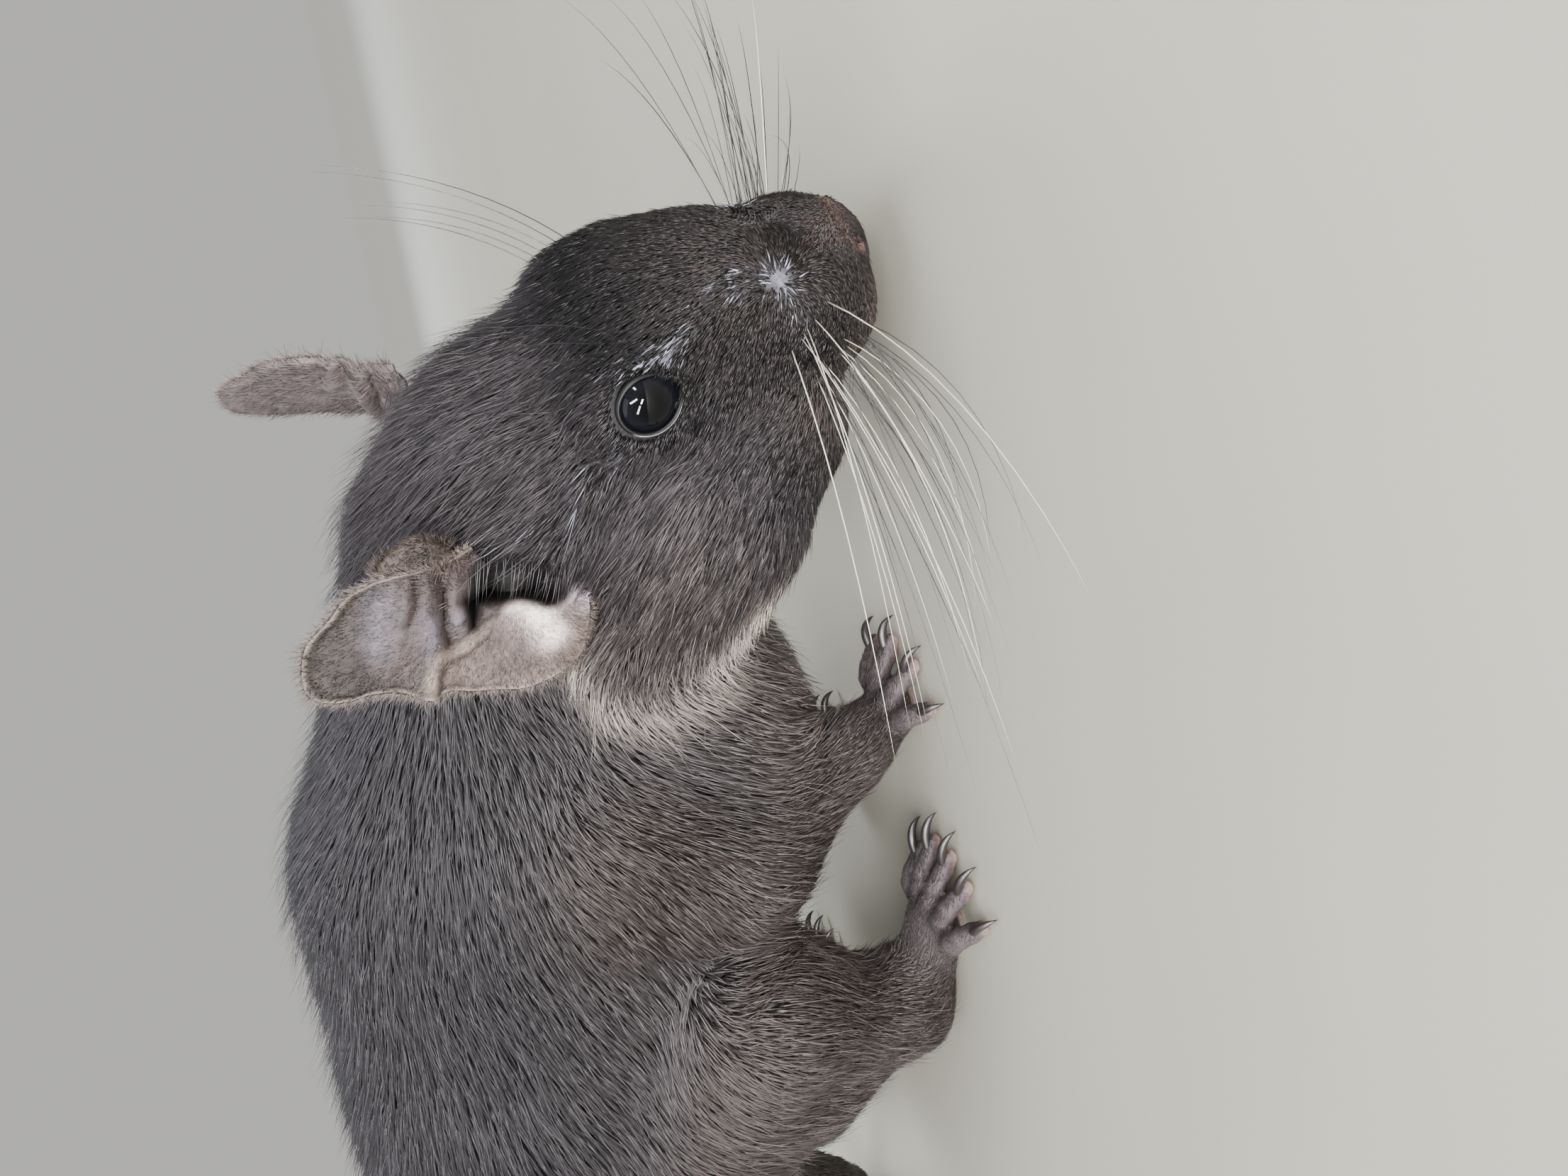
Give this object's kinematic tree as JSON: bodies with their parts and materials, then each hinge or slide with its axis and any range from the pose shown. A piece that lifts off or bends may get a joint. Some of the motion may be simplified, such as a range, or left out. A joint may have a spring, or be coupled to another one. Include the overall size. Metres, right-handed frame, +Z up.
{
  "type": "degu",
  "caption": "Life-size still model of a small dark rodent on four feet, its head turned aside and lowered to sniff, with large thin ears, whiskers and a brush-tipped tail.",
  "frame": {"origin": "on the floor, below the middle of the whole animal's bounding box, tail and whiskers included", "axes": "+X the way the body faces, +Y to the animal's left, +Z up"},
  "size_m": [0.2638, 0.098, 0.0694],
  "materials": {
    "coat": "short dense charcoal fur with a faint blue-grey sheen, browner on the flank",
    "face_coat": "very short dark fur, nearly black on the bridge of the nose, with small pale marks",
    "tail_hair": "coarse near-black hair",
    "ear_skin": "thin matt skin, grey-brown with a pink tinge, thinly haired",
    "foot_skin": "grey-pink scaly skin with sparse hair, dark claws",
    "nose_skin": "soft moist pink-brown skin",
    "eye": "wet glossy black"
  },
  "bodies": {
    "root": {"chest": "coat", "belly": "coat", "rump": "coat", "neck": "coat", "lower_jaw": "face_coat", "nose": "nose_skin", "whisker_pad_right": "face_coat", "eye_right": "eye", "whisker_pad_left": "face_coat", "eye_left": "eye", "head": "face_coat", "ear_right": "ear_skin", "upper_arm_right": "coat", "forearm_right": "coat", "hand_right": "foot_skin", "thigh_right": "coat", "shank_right": "coat", "hind_foot_right": "foot_skin", "ear_left": "ear_skin", "upper_arm_left": "coat", "forearm_left": "coat", "hand_left": "foot_skin", "thigh_left": "coat", "shank_left": "coat", "hind_foot_left": "foot_skin", "tail_1": "coat", "tail_2": "coat", "tail_3": "coat", "tail_4": "coat", "tail_brush": "tail_hair"}
  },
  "joints": []
}
